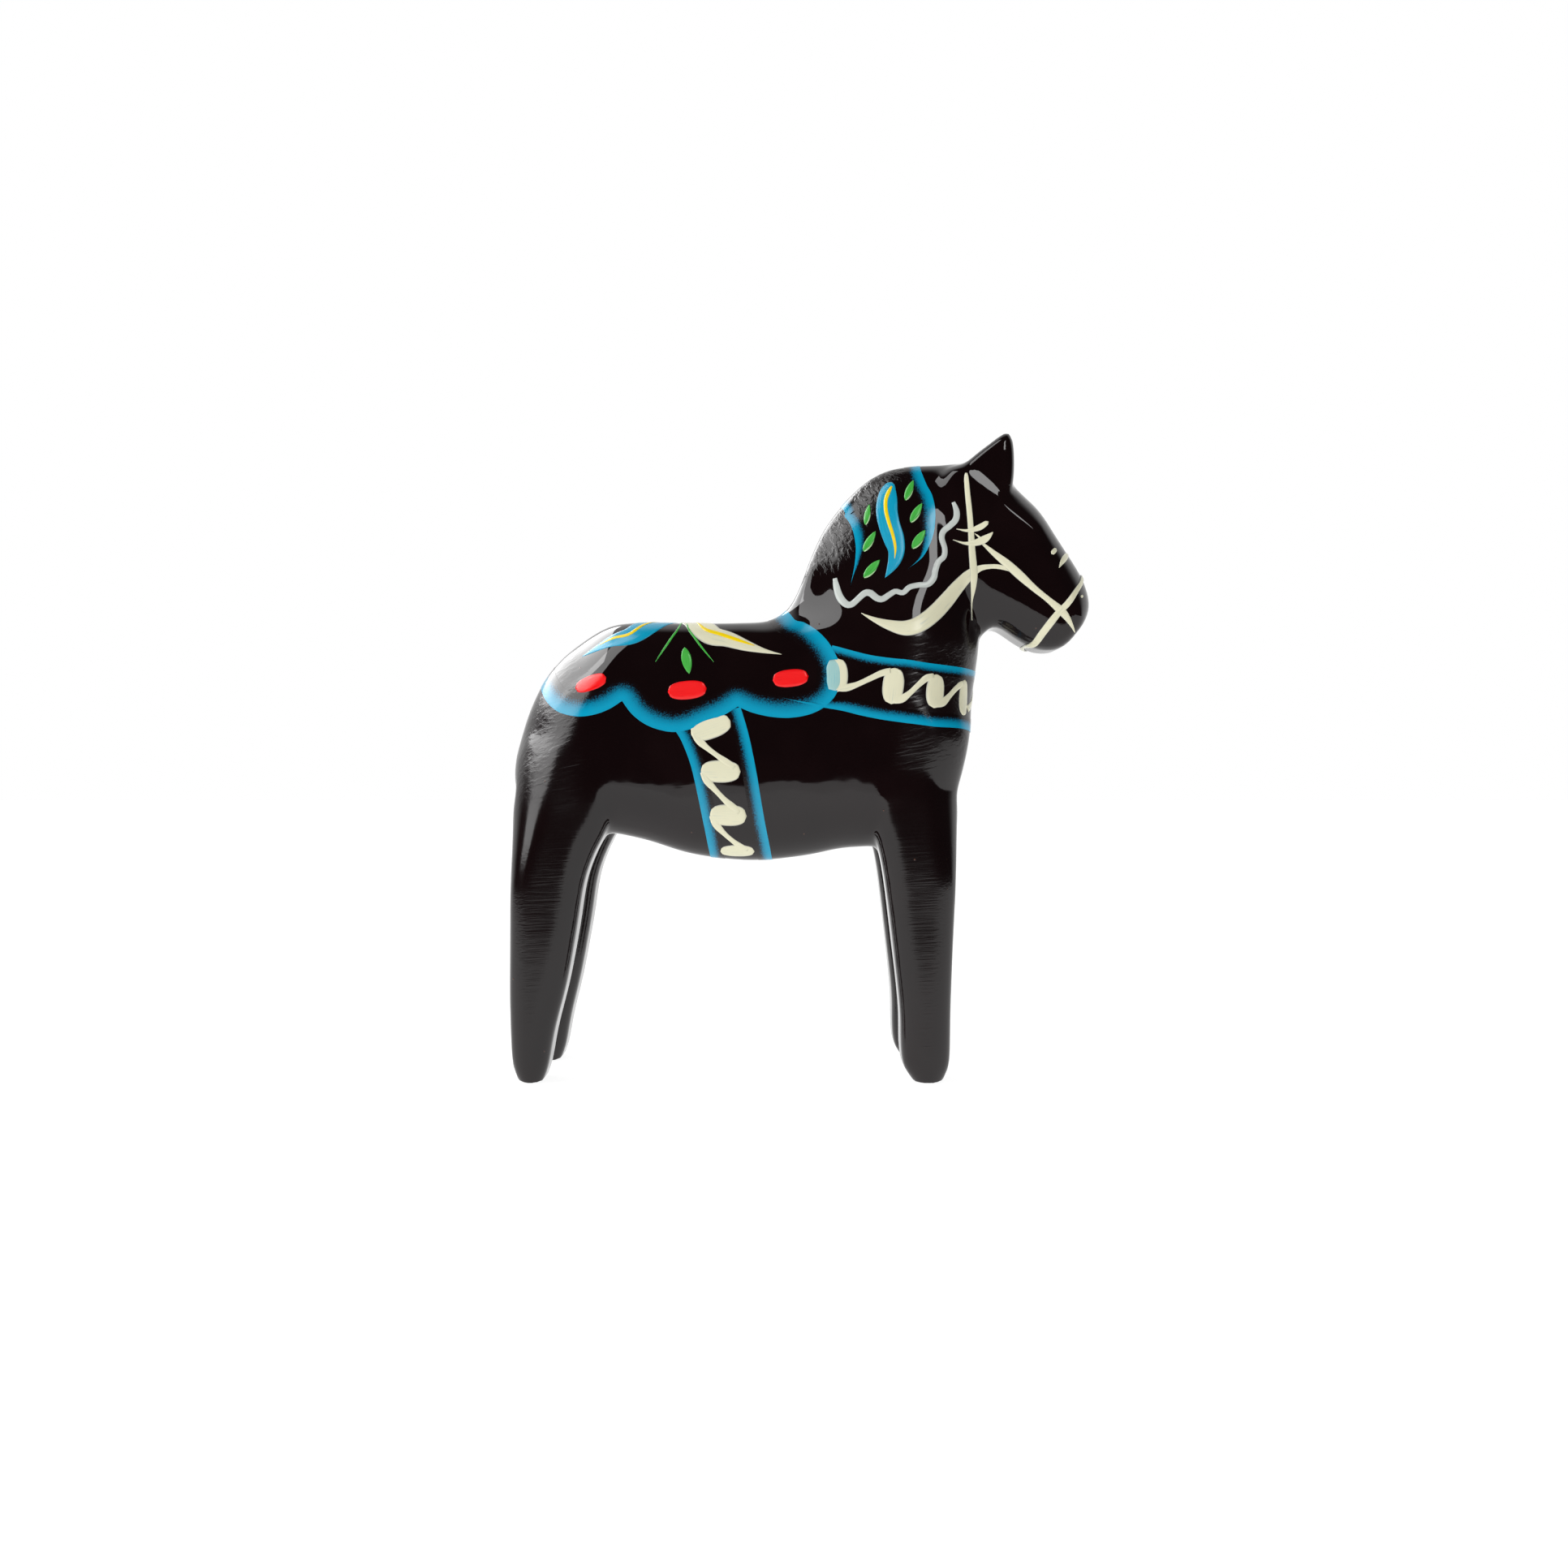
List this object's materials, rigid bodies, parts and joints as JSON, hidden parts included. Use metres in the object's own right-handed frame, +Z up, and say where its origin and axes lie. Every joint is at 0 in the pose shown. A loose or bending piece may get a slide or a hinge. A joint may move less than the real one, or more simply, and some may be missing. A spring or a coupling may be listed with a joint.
{
  "type": "painted wooden horse figurine",
  "caption": "Carved pine folk horse standing on four flat soles, dipped in black lacquer and painted with a saddle, girth, collar, mane and bridle.",
  "frame": {"origin": "centre of the horse's bounding box, on the plane that its four soles stand on", "axes": "+X the way the horse faces, +Y across it towards the side away from the picture's view, +Z up"},
  "size_m": [0.0632, 0.022, 0.0698],
  "materials": {
    "pine": "bare sawn pine, seen only on the soles",
    "black_lacquer": "dipped black oil paint under gloss varnish",
    "blue_spray": "sprayed turquoise with a speckled fading edge, varnished",
    "blue_paint": "brushed turquoise, varnished",
    "cream_paint": "brushed cream white, varnished",
    "grey_paint": "brushed grey white, varnished",
    "green_paint": "brushed leaf green, varnished",
    "yellow_paint": "brushed yellow, varnished",
    "red_paint": "brushed red, varnished"
  },
  "bodies": {
    "root": {"wood_core": "pine", "black_coat": "black_lacquer", "saddle_border": "blue_spray", "saddle_rear_petals": "blue_paint", "saddle_front_petals": "cream_paint", "petal_veins": "yellow_paint", "saddle_stems": "green_paint", "saddle_leaves": "green_paint", "saddle_red_dabs": "red_paint", "girth_bands": "blue_spray", "girth_scroll": "cream_paint", "collar_bands": "blue_spray", "collar_scroll": "cream_paint", "mane_bands": "blue_spray", "mane_plumes": "blue_paint", "plume_veins": "yellow_paint", "mane_leaves": "green_paint", "mane_edge_lines": "grey_paint", "cheek_straps": "cream_paint", "reins": "cream_paint", "nose_straps": "cream_paint", "noseband": "cream_paint", "brow_dabs": "cream_paint", "face_dabs": "cream_paint"}
  },
  "joints": []
}
